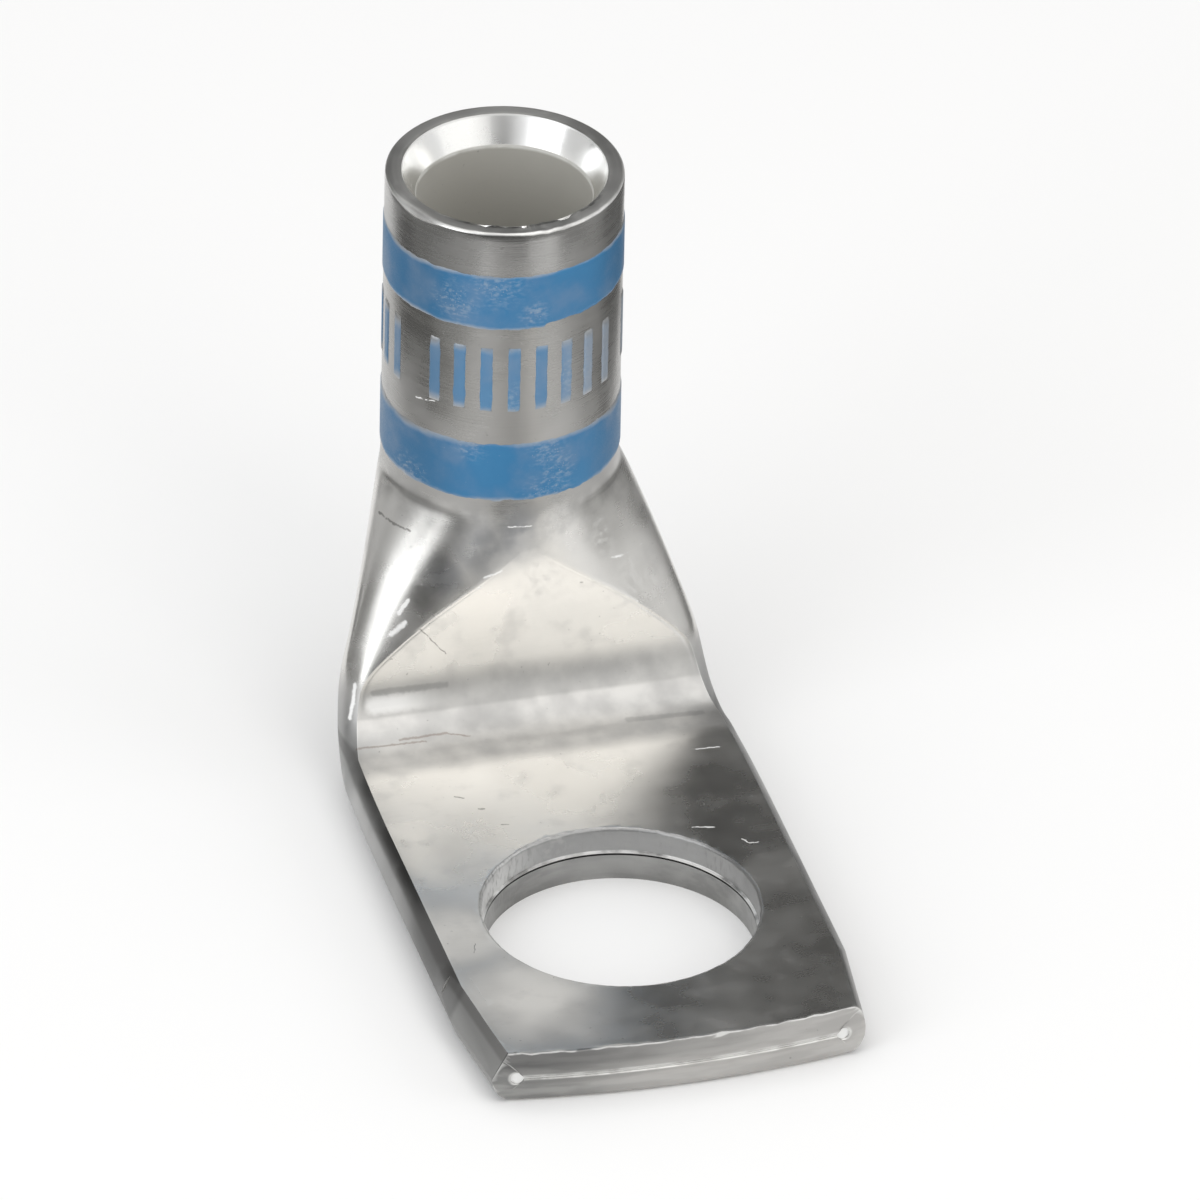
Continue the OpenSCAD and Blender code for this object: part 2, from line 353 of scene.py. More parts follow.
bpy.ops.object.mode_set(mode="OBJECT")

# The punch makes the stud hole. It shears the upper wall a little wider than the lower one,
# and drags the upper edge round as it enters.
stud_r = 4.2*mm
stud_edge = 0.12*mm
ledge = 0.07*mm
ledge_z = seam_z + 0.06*mm
overcut = 1*mm
bpy.ops.object.select_all(action="DESELECT")
bpy.ops.mesh.primitive_cylinder_add(vertices=192, radius=stud_r,
                                    depth=overcut + ledge_z,
                                    location=(0, 0, (ledge_z - overcut)/2))
punch = bpy.context.object
bpy.ops.object.transform_apply(location=True)
bpy.ops.object.mode_set(mode="EDIT")
bpy.ops.mesh.select_mode(type="FACE")
bpy.ops.mesh.select_all(action="DESELECT")
bpy.ops.object.mode_set(mode="OBJECT")
for face in punch.data.polygons:
    face.select = face.normal.z > 0.9
bpy.ops.object.mode_set(mode="EDIT")
steps = [(stud_r + ledge, 0.02*mm), (stud_r + ledge, tongue_t - stud_edge - ledge_z)]
steps += [(stud_r + ledge + stud_edge*(1 - math.cos(t)), steps[1][1] + stud_edge*math.sin(t))
          for t in np.radians(np.linspace(0, 90, 7)[1:])]
steps.append((steps[-1][0], steps[-1][1] + overcut))
radius, height = stud_r, 0
for next_r, next_h in steps:
    bpy.ops.mesh.extrude_region_move(TRANSFORM_OT_translate={"value": (0, 0, next_h - height)})
    bpy.ops.transform.resize(value=(next_r/radius, next_r/radius, 1), center_override=(0, 0, 0))
    radius, height = next_r, next_h
bpy.ops.object.mode_set(mode="OBJECT")

# The pinching tool tapers both corners. It leaves a round below and, above, a slanting facet
# at the left and a round at the right.
corner_len = 3.6*mm
facet_w = 0.45*mm
corner_r = 0.85*mm
nip_start = corner_len - (tip_y - tip_bow)
nip_turn = math.atan((tongue_w - tip_w)/2/corner_len)
below = [(-corner_r + corner_r*math.sin(t), corner_r - corner_r*math.cos(t))
         for t in np.radians(np.linspace(0, 90, 13))]
rounded = [(-facet_w + facet_w*math.cos(t), mix(corner_r, tongue_t, math.sin(t)))
           for t in np.radians(np.linspace(0, 90, 10))[1:-1]]
clear = [(-facet_w, tongue_t), (-corner_r, tongue_t), (-corner_r, tongue_t + overcut),
         (2*mm, tongue_t + overcut), (2*mm, -overcut), (-corner_r, -overcut)]
nippers = []
for side in (1, -1):
    outline = below + (rounded if side > 0 else []) + clear
    bpy.ops.object.select_all(action="DESELECT")
    bpy.ops.mesh.primitive_circle_add(vertices=len(outline), fill_type="NGON")
    nipper = bpy.context.object
    for vertex, (u, z) in zip(nipper.data.vertices, outline):
        vertex.co = (u, 0, z)
    bpy.ops.object.mode_set(mode="EDIT")
    bpy.ops.mesh.select_all(action="SELECT")
    bpy.ops.transform.translate(value=(0, overcut, 0))
    bpy.ops.mesh.extrude_region_move(TRANSFORM_OT_translate={
        "value": (0, -corner_len - 3*mm, 0)})
    bpy.ops.mesh.select_all(action="SELECT")
    bpy.ops.mesh.normals_make_consistent(inside=False)
    bpy.ops.object.mode_set(mode="OBJECT")
    nipper.rotation_euler = (0, 0, -nip_turn)
    nipper.location = (tongue_w/2, nip_start, 0)
    bpy.ops.object.transform_apply(location=True, rotation=True)
    if side < 0:
        nipper.scale = (-1, 1, 1)
        bpy.ops.object.transform_apply(scale=True)
        bpy.ops.object.mode_set(mode="EDIT")
        bpy.ops.mesh.select_all(action="SELECT")
        bpy.ops.mesh.normals_make_consistent(inside=False)
        bpy.ops.object.mode_set(mode="OBJECT")
    nippers.append(nipper)

for tool in [punch] + nippers:
    bpy.ops.object.select_all(action="DESELECT")
    bpy.context.view_layer.objects.active = lug
    lug.select_set(True)
    cut = lug.modifiers.new("cut", "BOOLEAN")
    cut.operation = "DIFFERENCE"
    cut.solver = "EXACT"
    cut.object = tool
    bpy.ops.object.modifier_apply(modifier=cut.name)
    bpy.data.objects.remove(tool)
bpy.ops.object.mode_set(mode="EDIT")
bpy.ops.mesh.select_all(action="SELECT")
bpy.ops.mesh.remove_doubles(threshold=3*weld)
bpy.ops.object.mode_set(mode="OBJECT")

# The punch dragged the upper edge of the hole, which is torn here and there.
points = np.zeros(3*len(lug.data.vertices), dtype=np.float32)
lug.data.vertices.foreach_get("co", points)
points = points.reshape(-1, 3).astype(float)
reach = np.hypot(points[:, 0], points[:, 1])
hair = 0.01*mm
torn = reach < stud_r + ledge + stud_edge + hair
torn &= points[:, 2] > tongue_t - stud_edge - hair
edge_points = points[torn]
ragged = rough(edge_points*(1, 1, 0), 0.3*mm, 6) + 0.5*rough(edge_points*(1, 1, 0), 0.13*mm, 7)
tear_out, tear_up = 0.03*mm, 0.014*mm
edge_points[:, :2] *= (1 + tear_out*ragged/reach[torn])[:, None]
edge_points[:, 2] += tear_up*ragged
points[torn] = edge_points

# The cropping blade left a burr along the upper edge of the tip.
burr_reach = 0.15*mm
burr_h = 0.06*mm
from_tip = points[:, 1] - tip_line(points[:, 0])
raised = (from_tip < burr_reach) & (points[:, 2] > tongue_t - 0.35*mm)
burr_points = points[raised]
strength = np.clip(1 - from_tip[raised]/burr_reach, 0, 1)
strength *= np.clip((burr_points[:, 2] - tongue_t)/(0.3*mm) + 1, 0, 1)
burr_points[:, 2] += strength*burr_h*(0.35 + rough(burr_points*(1, 0, 0), 0.4*mm, 2))
burr_points[:, 1] += strength*0.5*burr_h*rough(burr_points*(1, 0, 0), 0.25*mm, 3)
points[raised] = burr_points
lug.data.vertices.foreach_set("co", points.reshape(-1).astype(np.float32))
lug.data.update()
bpy.ops.object.shade_smooth_by_angle(angle=math.radians(32))

# Where an edge stands out, handling has rubbed it bright, and the burr at the tip is painted
# brightest, as a white glint.
smooth_edge = 0.93
rub_and_glint = np.zeros(len(lug.data.vertices))
faces_at = {}
for face in lug.data.polygons:
    for key in face.edge_keys:
        faces_at.setdefault(key, []).append(face)
for (a, b), pair in faces_at.items():
    if len(pair) == 2 and pair[0].normal.dot(pair[1].normal) < smooth_edge:
        if pair[0].normal.dot(pair[1].center - pair[0].center) < 0:
            rub_and_glint[a] = rub_and_glint[b] = 1
burr_glint = (from_tip < 0.07*mm) & (points[:, 2] > tongue_t - 0.03*mm)
rub_and_glint[burr_glint] = 3
wear_and_glint = lug.data.attributes.new("rubbed_edge_and_glint", "FLOAT", "POINT")
wear_and_glint.data.foreach_set("value", rub_and_glint.astype(np.float32))


def node(tree, kind, inputs=(), **settings):
    """A shader node with its settings and its sockets, each a value or another's output."""
    made = tree.nodes.new("ShaderNode" + kind)
    for key, value in settings.items():
        setattr(made, key, value)
    for socket, value in dict(inputs).items():
        if isinstance(value, bpy.types.NodeSocket):
            tree.links.new(value, made.inputs[socket])
        else:
            made.inputs[socket].default_value = value
    return made


def sums(tree, operation, *values, clamp=False):
    return node(tree, "Math", dict(enumerate(values)), operation=operation,
                use_clamp=clamp).outputs[0]


def spread(tree, value, low, high, to_low=0.0, to_high=1.0):
    """Takes a value between low and high smoothly to another range."""
    return node(tree, "MapRange", {0: value, 1: low, 2: high, 3: to_low, 4: to_high},
                interpolation_type="SMOOTHSTEP").outputs[0]


def product(tree, value, *others):
    for other in others:
        value = sums(tree, "MULTIPLY", value, other)
    return value


def total(tree, value, *others):
    for other in others:
        value = sums(tree, "ADD", value, other)
    return value


def near(tree, value, middle, inner, outer):
    """1 where a value lies within inner of the middle, falling to 0 at outer."""
    off = sums(tree, "ABSOLUTE", sums(tree, "SUBTRACT", value, middle))
    return spread(tree, off, inner, outer, 1, 0)


def blend(tree, factor, first, second):
    """From one colour to another, each as red, green and blue or as another's output."""
    tones = [(*tone, 1) if isinstance(tone, tuple) else tone for tone in (first, second)]
    return node(tree, "Mix", {0: factor, 6: tones[0], 7: tones[1]}, data_type="RGBA").outputs[2]


def tinted(tree, colour, tone, *amounts):
    """The colour blended towards a tone, as far as the product of the amounts."""
    return blend(tree, product(tree, *amounts), colour, tone)


def grain(tree, place_in, size, detail=2.0, stretch=(1, 1, 1)):
    """Noise whose grain has the given size, or longer where stretch is below 1."""
    spot = node(tree, "Mapping", {"Vector": place_in, "Scale": stretch}).outputs[0]
    return node(tree, "TexNoise", {"Vector": spot, "Scale": 1/size, "Detail": detail}).outputs[0]


def scratch(tree, place_in, start, end, width):
    """1 along a scratch between two points, in millimetres, and 0 away from it."""
    run = (Vector(end) - Vector(start))*mm
    from_start = node(tree, "VectorMath", {0: place_in, 1: Vector(start)*mm}, operation="SUBTRACT")
    along = node(tree, "VectorMath", {0: from_start.outputs[0], 1: run/run.dot(run)},
                 operation="DOT_PRODUCT").outputs["Value"]
    along = sums(tree, "ADD", along, 0, clamp=True)
    nearest = node(tree, "VectorMath", {0: run, "Scale": along}, operation="SCALE").outputs[0]
    off = node(tree, "VectorMath", {0: from_start.outputs[0], 1: nearest}, operation="DISTANCE")
    return spread(tree, off.outputs["Value"], 0.3*width*mm, width*mm, 1, 0)


def patch(tree, place_in, centre, size):
    """1 at a point, in millimetres, falling to 0 at the given distance."""
    off = node(tree, "VectorMath", {0: place_in, 1: Vector(centre)*mm}, operation="DISTANCE")
    return spread(tree, off.outputs["Value"], 0.15*size*mm, size*mm, 1, 0)


def marked(tree, place_in, marks, shape):
    """The strongest of several marks, each joined in as it is made to keep the shader small."""
    strongest = shape(tree, place_in, *marks[0])
    for mark in marks[1:]:
        strongest = sums(tree, "MAXIMUM", strongest, shape(tree, place_in, *mark))
    return strongest


# The marks that work and handling left on this lug, with painted glints, highlights, shade and
# dark reflections among them, placed in millimetres. A line has two ends and a width, and a patch
# has a middle and a reach.
# These scratches and chips are painted as white glints.
painted_glints_scratches = [
    ((-3.21, 13.03, 12.65), (-2.77, 12.41, 12.83), 0.035),
    ((-0.67, 11.21, 8.63), (0.05, 11.16, 8.59), 0.035),
    ((2.74, 11.55, 6.78), (3.06, 11.66, 6.7), 0.045),
    ((3.06, 11.66, 6.7), (3.87, 12.17, 6.72), 0.02),
    ((4.52, 7.83, 1.79), (5.24, 7.77, 1.79), 0.045),
    ((3.29, 3.69, 1.79), (3.92, 3.55, 1.79), 0.045),
    ((4.58, 2.69, 1.79), (4.77, 2.42, 1.79), 0.035),
    ((4.77, 2.42, 1.79), (5.02, 2.42, 1.79), 0.035),
    ((-4.0, 11.7, 5.66), (-3.71, 11.73, 6.07), 0.1),
    ((-4.28, 11.55, 5.02), (-3.85, 11.51, 5.39), 0.12),
    ((-4.36, 11.6, 4.95), (-4.2, 11.58, 4.8), 0.05),
    ((-1.43, 11.24, 6.85), (-0.87, 11.2, 7.05), 0.05),
    ((-1.75, 11.21, 6.4), (-1.45, 11.21, 6.62), 0.04),
    ((-5.67, 11.14, 2.4), (-5.43, 11.47, 3.37), 0.1)]
dark_scratches = [
    ((-3.42, 11.32, 5.22), (-2.58, 11.33, 4.16), 0.032),
    ((-4.09, 13.9, 8.0), (-3.82, 13.11, 8.02), 0.06),
    ((-3.82, 13.11, 8.02), (-3.45, 12.58, 8.04), 0.05),
    ((-4.88, -0.94, 1.79), (-5.03, -1.41, 1.79), 0.022),
    ((-2.85, 6.2, 1.79), (-2.7, 6.16, 1.79), 0.05),
    ((-2.39, 5.18, 1.79), (-2.2, 5.15, 1.79), 0.035),
    ((-3.4, 7.02, 1.79), (-3.15, 6.9, 1.79), 0.04)]
cracks = [
    ((-5.7, 10.18, 1.86), (-3.5, 10.12, 1.86), 0.055),
    ((-4.3, 10.29, 1.91), (-2.8, 10.31, 1.92), 0.065),
    ((-2.8, 10.31, 1.92), (-2.1, 10.08, 1.85), 0.05)]
# The creases are painted dark along their lines as shade.
crease_shade_lines = [
    ((2.9, 9.87, 1.81), (5.2, 9.75, 1.79), 0.17),
    ((-4.88, 11.26, 3.12), (-2.6, 11.26, 3.08), 0.15)]
# This line is a painted highlight: white and mirroring little.
painted_highlight_line = ((-4.9, 11.1, 2.76), (-2.7, 11.1, 2.73), 0.4)
rubbed_patches = [
    ((1.0, 11.3, 8.3), 1.1), ((2.2, 11.5, 7.6), 1.2), ((-3.1, 5.6, 1.79), 1.3),
    ((-1.2, 4.9, 1.79), 1.4), ((0.2, 11.18, 6.7), 1.5), ((3.6, 11.6, 5.6), 1.5)]
handled_patches = [((-4.2, -4.2, 1.79), 4.2), ((-5.4, -0.5, 1.79), 3.0)]
# These patches are a painted dark reflection on the front of the neck.
painted_dark_reflection_patches = [((-1.5, 11.2, 7.9), 1.6), ((-0.4, 11.18, 8.3), 1.5), ((-2.6, 11.3, 6.95), 1.1)]

tin = bpy.data.materials.new("tinned_copper")
tin.use_nodes = True
tree = tin.node_tree
shader = tree.nodes["Principled BSDF"]
coords = node(tree, "TexCoord").outputs["Object"]
unwrapped = node(tree, "UVMap", uv_map=lug.data.uv_layers[0].name).outputs["UV"]
x, y, z = node(tree, "SeparateXYZ", {0: coords}).outputs

clouds = grain(tree, coords, 2.6*mm, 2)
stains = grain(tree, coords, 0.9*mm, 3)
fine = grain(tree, coords, 0.09*mm, 3)
drawn = grain(tree, unwrapped, mm/unwrap_u, 3, (0.3, 70, 1))
hairlines = grain(tree, unwrapped, mm/unwrap_u, 2, (0.12, 190, 1))
pits = spread(tree, grain(tree, coords, 0.16*mm, 2), 0.73, 0.79)

# No scratch is quite straight, so the metal's own places are warped before the lines are laid.
warp_reach = 0.12*mm
warp = node(tree, "TexNoise", {"Vector": coords, "Scale": 1/(0.16*mm), "Detail": 4.0})
warp = node(tree, "VectorMath", {0: warp.outputs["Color"], "Scale": warp_reach},
            operation="SCALE")
warped = node(tree, "VectorMath", {0: coords, 1: warp.outputs[0]}, operation="ADD")
warped = node(tree, "VectorMath", {0: warped.outputs[0], 1: Vector((1, 1, 1))*warp_reach/2},
              operation="SUBTRACT").outputs[0]
painted_glints = marked(tree, warped, painted_glints_scratches, scratch)
dark = marked(tree, warped, dark_scratches, scratch)
crease_shade = marked(tree, warped, crease_shade_lines, scratch)
cracked = marked(tree, warped, cracks, scratch)
rubbed = product(tree, marked(tree, coords, rubbed_patches, patch),
                 spread(tree, grain(tree, coords, 0.22*mm, 4), 0.42, 0.72))
handled = marked(tree, coords, handled_patches, patch)
# A painted dark reflection on the neck's front.
painted_dark_reflection = product(tree, marked(tree, coords, painted_dark_reflection_patches, patch),
                 spread(tree, stains, 0.35, 0.6, 0.6, 1))

# The die burnished the pressed part, while the barrel kept the duller drawn face, which is painted
# darker still as shade for the dark room that it mirrors.
burnished = product(tree, sums(tree, "SUBTRACT", stains, 0.5), 1.5*mm)
burnished = spread(tree, total(tree, z, burnished), neck_z - 1*mm, neck_z + 0.5*mm, 1, 0)

# The bore is dull inside, and the lead-in is machined. The saw tore the front of the lip, and the
# shade along its torn front edge is painted as a dark ragged line.
from_axis = node(tree, "CombineXYZ", {0: x, 1: sums(tree, "SUBTRACT", y, barrel_y)}).outputs[0]
from_axis = node(tree, "VectorMath", {0: from_axis}, operation="LENGTH").outputs["Value"]
in_bore = product(tree, spread(tree, from_axis, bore_r + 0.01*mm, bore_r + 0.04*mm, 1, 0),
                  spread(tree, z, neck_z - 2*mm, neck_z - 1*mm))
lead_in_z = mouth_z - lead_in_depth
machined = spread(tree, from_axis, lead_in_r + 0.01*mm, lead_in_r + 0.04*mm, 1, 0)
machined = product(tree, machined, spread(tree, z, lead_in_z - 0.02*mm, lead_in_z + 0.02*mm))
sawn = spread(tree, z, mouth_z - 0.08*mm, mouth_z - 0.02*mm)
torn_lip_shadow = product(tree, near(tree, from_axis, lead_in_r + 0.03*mm, 0.04*mm, 0.13*mm), sawn,
                   spread(tree, y, barrel_y - 2.9*mm, barrel_y - 1.6*mm, 1, 0),
                   spread(tree, grain(tree, coords, 0.14*mm, 4, (0.5, 1, 1)), 0.34, 0.5))

# The punch tore the wall of the hole upright, and the blade sheared the end in streaks.
from_stud = node(tree, "CombineXYZ", {0: x, 1: y}).outputs[0]
from_stud = node(tree, "VectorMath", {0: from_stud}, operation="LENGTH").outputs["Value"]
in_hole = spread(tree, from_stud, stud_r + 0.12*mm, stud_r + 0.18*mm, 1, 0)
upper_wall = product(tree, in_hole, spread(tree, z, ledge_z + 0.02*mm, ledge_z + 0.06*mm))
# The ledge between the walls of the hole is painted as a white highlight line.
ledge_highlight = product(tree, near(tree, z, ledge_z + 0.015*mm, 0.02*mm, 0.05*mm), in_hole,
                   spread(tree, stains, 0.35, 0.6, 0.1, 0.8))
torn_wall = spread(tree, grain(tree, coords, 0.1*mm, 3, (1, 1, 0.3)), 0.45, 0.75)
behind_tip = sums(tree, "SUBTRACT", y, product(tree, x, x, 1/(2*tip_arc_r)))
on_end = spread(tree, behind_tip, 0.06*mm - tip_y, 0.1*mm - tip_y, 1, 0)
streaked = spread(tree, grain(tree, coords, 0.45*mm, 3, (0.2, 1, 1.6)), 0.3, 0.7)
sheared = sums(tree, "MAXIMUM", in_hole, on_end)

# The bend was stretched, so it is cloudier, and its tone is painted darker as shade to dim its
# highlight. The die never rubbed the folds, which stay dull, and their sides are painted darker as
# shade.
# A painted highlight along the flat's left edge near the bend.
painted_highlight = product(tree, scratch(tree, warped, *painted_highlight_line),
                   spread(tree, x, -4.4*mm, -2.7*mm, 0.85, 0.1))
bent_and_shaded = product(tree, spread(tree, y, 8.3*mm, 9.2*mm), spread(tree, z, 2.9*mm, 3.8*mm, 1, 0),
               spread(tree, stains, 0.3, 0.6, 0.7, 1), spread(tree, x, -4.5*mm, -2*mm, 0.8, 1),
               sums(tree, "SUBTRACT", 1, painted_highlight))
faces_x = node(tree, "SeparateXYZ", {0: node(tree, "TexCoord").outputs["Normal"]}).outputs[0]
folds_dull_and_shaded = product(tree, spread(tree, sums(tree, "ABSOLUTE", faces_x), 0.2, 0.55),
                 spread(tree, z, 2.0*mm, 3.8*mm, 1, 0), sums(tree, "SUBTRACT", 1, in_hole))
# A painted shadow runs along the folds just under the tongue's upper edge.
shadow_under_edge = near(tree, z, 1.64*mm, 0.1*mm, 0.25*mm)
unworn = sums(tree, "MAXIMUM", in_hole, folds_dull_and_shaded)
worn_edge_and_glint = node(tree, "Attribute", attribute_name="rubbed_edge_and_glint").outputs["Fac"]
worn_edge_and_glint = sums(tree, "MULTIPLY", worn_edge_and_glint, spread(tree, stains, 0.35, 0.6, 0.1, 1), clamp=True)
worn_edge_and_glint = product(tree, worn_edge_and_glint, sums(tree, "SUBTRACT", 1, unworn))

# The tones, from the drawn and pressed faces down to the single marks.
# The barrel's drawn tone is painted dark as shade, well below the tin of the pressed part.
drawn_tone_with_shade = blend(tree, spread(tree, clouds, 0.3, 0.7), (0.37, 0.365, 0.35), (0.49, 0.483, 0.47))
drawn_tone_with_shade = tinted(tree, drawn_tone_with_shade, (0.72, 0.715, 0.71),
                    spread(tree, z, 17.6*mm, 18*mm, 0, 0.32))
die_tone = blend(tree, spread(tree, clouds, 0.3, 0.7), (0.77, 0.757, 0.73), (0.87, 0.858, 0.83))
colour = blend(tree, burnished, drawn_tone_with_shade, die_tone)
# The bend's tone is painted darker here as shade, to dim its highlight.
colour = tinted(tree, colour, (0.53, 0.525, 0.515), bent_and_shaded, 0.88)
# The folds' sides are painted dark as shade, darkest towards the tip and on the nipper's facet.
fold_shade_tone = blend(tree, spread(tree, y, 0, 9*mm), (0.22, 0.22, 0.218), (0.46, 0.46, 0.455))
shaded_facet = spread(tree, y, nip_start - 0.2*mm, nip_start + 0.1*mm, 1, 0)
fold_shade_tone = tinted(tree, fold_shade_tone, (0.33, 0.33, 0.325), shaded_facet)
colour = tinted(tree, colour, fold_shade_tone, folds_dull_and_shaded, 0.95)
# A thin painted shadow under the tongue's upper edge, on the folds.
colour = tinted(tree, colour, (0.1, 0.095, 0.09), shadow_under_edge, folds_dull_and_shaded, 0.42)
# The painted highlight, near white.
colour = tinted(tree, colour, (0.96, 0.955, 0.945), painted_highlight, 0.8)
# The painted dark reflection, bluish grey.
colour = tinted(tree, colour, (0.28, 0.295, 0.325), painted_dark_reflection, 0.65)
colour = tinted(tree, colour, (0.42, 0.42, 0.42), spread(tree, stains, 0.52, 0.75, 0, 0.16))
colour = tinted(tree, colour, (0.2, 0.2, 0.2), spread(tree, drawn, 0.25, 0.75, 0.07, 0),
                spread(tree, burnished, 0, 1, 1, 0.3))
# The end face is painted darker at its left and lighter at its right as shade and light, with a
# painted band of shade below its upper edge, darkest at the left.
end_shade_tone = blend(tree, spread(tree, x, -5.5*mm, 0), (0.26, 0.26, 0.255), (0.47, 0.46, 0.445))
colour = tinted(tree, colour, end_shade_tone, on_end, spread(tree, streaked, 0, 1, 1, 0.8))
colour = tinted(tree, colour, (0.1, 0.1, 0.1), on_end,
                spread(tree, z, seam_z + 0.1*mm, seam_z + 0.45*mm),
                spread(tree, x, -4*mm, 4.5*mm, 0.6, 0.1))
hole_tone_and_light = blend(tree, spread(tree, clouds, 0.4, 0.6), (0.25, 0.25, 0.245), (0.34, 0.34, 0.335))
colour = tinted(tree, colour, hole_tone_and_light, in_hole, spread(tree, streaked, 0, 1, 0.97, 0.88))
# The upper wall of the hole is painted lighter at the left and darker at the right, as light and
# shade.
hole_tone_and_light = blend(tree, spread(tree, x, -3.5*mm, -1*mm), (0.8, 0.8, 0.79), (0.38, 0.38, 0.38))
colour = tinted(tree, colour, hole_tone_and_light, upper_wall, spread(tree, torn_wall, 0, 1, 0.8, 0.3))
colour = tinted(tree, colour, (0.92, 0.92, 0.91), machined)
colour = tinted(tree, colour, (0.7, 0.7, 0.69), sawn, 0.7)
# The painted shade along the torn front of the lip.
colour = tinted(tree, colour, (0.12, 0.115, 0.11), torn_lip_shadow, 0.92)
colour = tinted(tree, colour, (0.55, 0.54, 0.50), in_bore)
colour = tinted(tree, colour, (0.2, 0.2, 0.2), pits, 0.4)
colour = tinted(tree, colour, (0.15, 0.14, 0.13), dark, 0.65)
colour = tinted(tree, colour, (0.3, 0.235, 0.2), cracked, 0.55)
# The painted shade along the creases.
colour = tinted(tree, colour, (0.25, 0.25, 0.25), crease_shade, 0.35)
colour = tinted(tree, colour, (0.86, 0.85, 0.83), rubbed, 0.45)
# Rubbed edges, and the burr at the tip as a painted glint.
colour = tinted(tree, colour, (0.9, 0.9, 0.88), worn_edge_and_glint, 0.7)
# The ledge's painted highlight joins the painted glints.
painted_glints = sums(tree, "MAXIMUM", painted_glints, ledge_highlight)
# The painted glints, near white.
colour = tinted(tree, colour, (0.95, 0.95, 0.94), painted_glints)
tree.links.new(colour, shader.inputs["Base Color"])

# The bore is dull inside and mirrors less of the room, so it shows its own tone. The painted
# glints and the painted highlight mirror little, so they show white.
metal = sums(tree, "SUBTRACT", 1, product(tree, in_bore, 0.85))
unmirrored = product(tree, sums(tree, "MAXIMUM", painted_glints, product(tree, painted_highlight, 0.7)), 0.75)
metal = sums(tree, "SUBTRACT", metal, unmirrored, clamp=True)
tree.links.new(metal, shader.inputs["Metallic"])
tooled = sums(tree, "MAXIMUM", burnished, machined)
roughness = spread(tree, clouds, 0.25, 0.75, 0.2, 0.34)
roughness = total(tree, roughness, product(
    tree, spread(tree, drawn, 0.3, 0.7, -0.03, 0.05), spread(tree, tooled, 0, 1, 1, 0.15)))
roughness = total(tree, roughness, spread(tree, stains, 0.5, 0.75, 0, 0.06))
for part, amount in ((bent_and_shaded, 0.24), (folds_dull_and_shaded, 0.08), (handled, 0.36), (sawn, 0.2),
                     (machined, -0.04), (sheared, 0.12), (in_bore, 0.3), (rubbed, 0.12)):
    roughness = total(tree, roughness, product(tree, part, amount))
tree.links.new(roughness, shader.inputs["Roughness"])

# The height holds the lines of the drawing die, which the other tools wore down, with the
# grain of the tin, its pits and the torn walls.
height = total(tree, product(tree, drawn, 0.16), product(tree, hairlines, 0.13))
height = product(tree, height, spread(tree, tooled, 0, 1, 0.8, 0.15))
for part, amount in ((fine, 0.15), (stains, 0.4), (clouds, 1.3), (pits, -1.2)):
    height = total(tree, height, product(tree, part, amount))
height = total(tree, height, product(tree, in_hole, torn_wall, 1.6))
height = total(tree, height, product(tree, on_end, streaked, 1.2))
bump = node(tree, "Bump", {"Height": height, "Strength": 1.0, "Distance": 0.003*mm})
tree.links.new(bump.outputs[0], shader.inputs["Normal"])
lug.data.materials.clear()
lug.data.materials.append(tin)
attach(lug, "root")
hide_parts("lug")

# The plating ran into the seam at the cropped end and closed it, just behind the face. It is
# the same tin, as it set: cloudy and not rubbed by any tool.
fill_back = 0.035*mm
fill_bulge = 0.03*mm
fill_depth = 0.1*mm
seam_half = len(seam_ring)//2
fill_line = tongue_ring(fill_back, inside=True)
bpy.ops.object.select_all(action="DESELECT")
bpy.ops.mesh.primitive_grid_add(x_subdivisions=5, y_subdivisions=seam_half - 1, size=1)
seam_fill = bpy.context.object
seam_fill.name = "seam_fill"
near_wall, far_wall = fill_line[:seam_half], fill_line[seam_half:][::-1]
deeper = (0, fill_depth, 0)
bead = np.stack([near_wall, (near_wall + far_wall)/2 + (0, fill_bulge, 0), far_wall,
                 far_wall + deeper, near_wall + deeper, near_wall], 1)
bead[0], bead[-1] = bead[0].mean(0), bead[-1].mean(0)
seam_fill.data.vertices.foreach_set("co", bead.reshape(-1).astype(np.float32))
seam_fill.data.update()
bpy.ops.object.mode_set(mode="EDIT")
bpy.ops.mesh.select_all(action="SELECT")
bpy.ops.mesh.remove_doubles(threshold=weld)
bpy.ops.mesh.normals_make_consistent(inside=False)
bpy.ops.object.mode_set(mode="OBJECT")
bpy.ops.object.shade_smooth_by_angle(angle=math.radians(32))
fresh_tin = bpy.data.materials.new("fresh_tin")
fresh_tin.use_nodes = True
tree = fresh_tin.node_tree
shader = tree.nodes["Principled BSDF"]
coords = node(tree, "TexCoord").outputs["Object"]
runs = grain(tree, coords, 0.25*mm, 3)
fresh_tone = blend(tree, runs, (0.8, 0.8, 0.78), (0.95, 0.95, 0.94))
tree.links.new(fresh_tone, shader.inputs["Base Color"])
tree.links.new(spread(tree, runs, 0.3, 0.7, 0.35, 0.55), shader.inputs["Roughness"])
shader.inputs["Metallic"].default_value = 0.35
bump = node(tree, "Bump", {"Height": runs, "Strength": 1.0, "Distance": 0.01*mm})
tree.links.new(bump.outputs[0], shader.inputs["Normal"])
seam_fill.data.materials.append(fresh_tin)
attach(seam_fill, "root")


# The colour code is blue ink, rolled round the barrel as two bands with a row of print
# between them. It is a thin film, uneven at its edges, and rubbed through where it was handled.
ink_t = 0.03*mm
ink_taper = 0.05*mm
upper_band = (15.82*mm, 17.84*mm)
lower_band = (9.54*mm, 11.73*mm)
mark_rows = (12.85*mm, 15.2*mm)


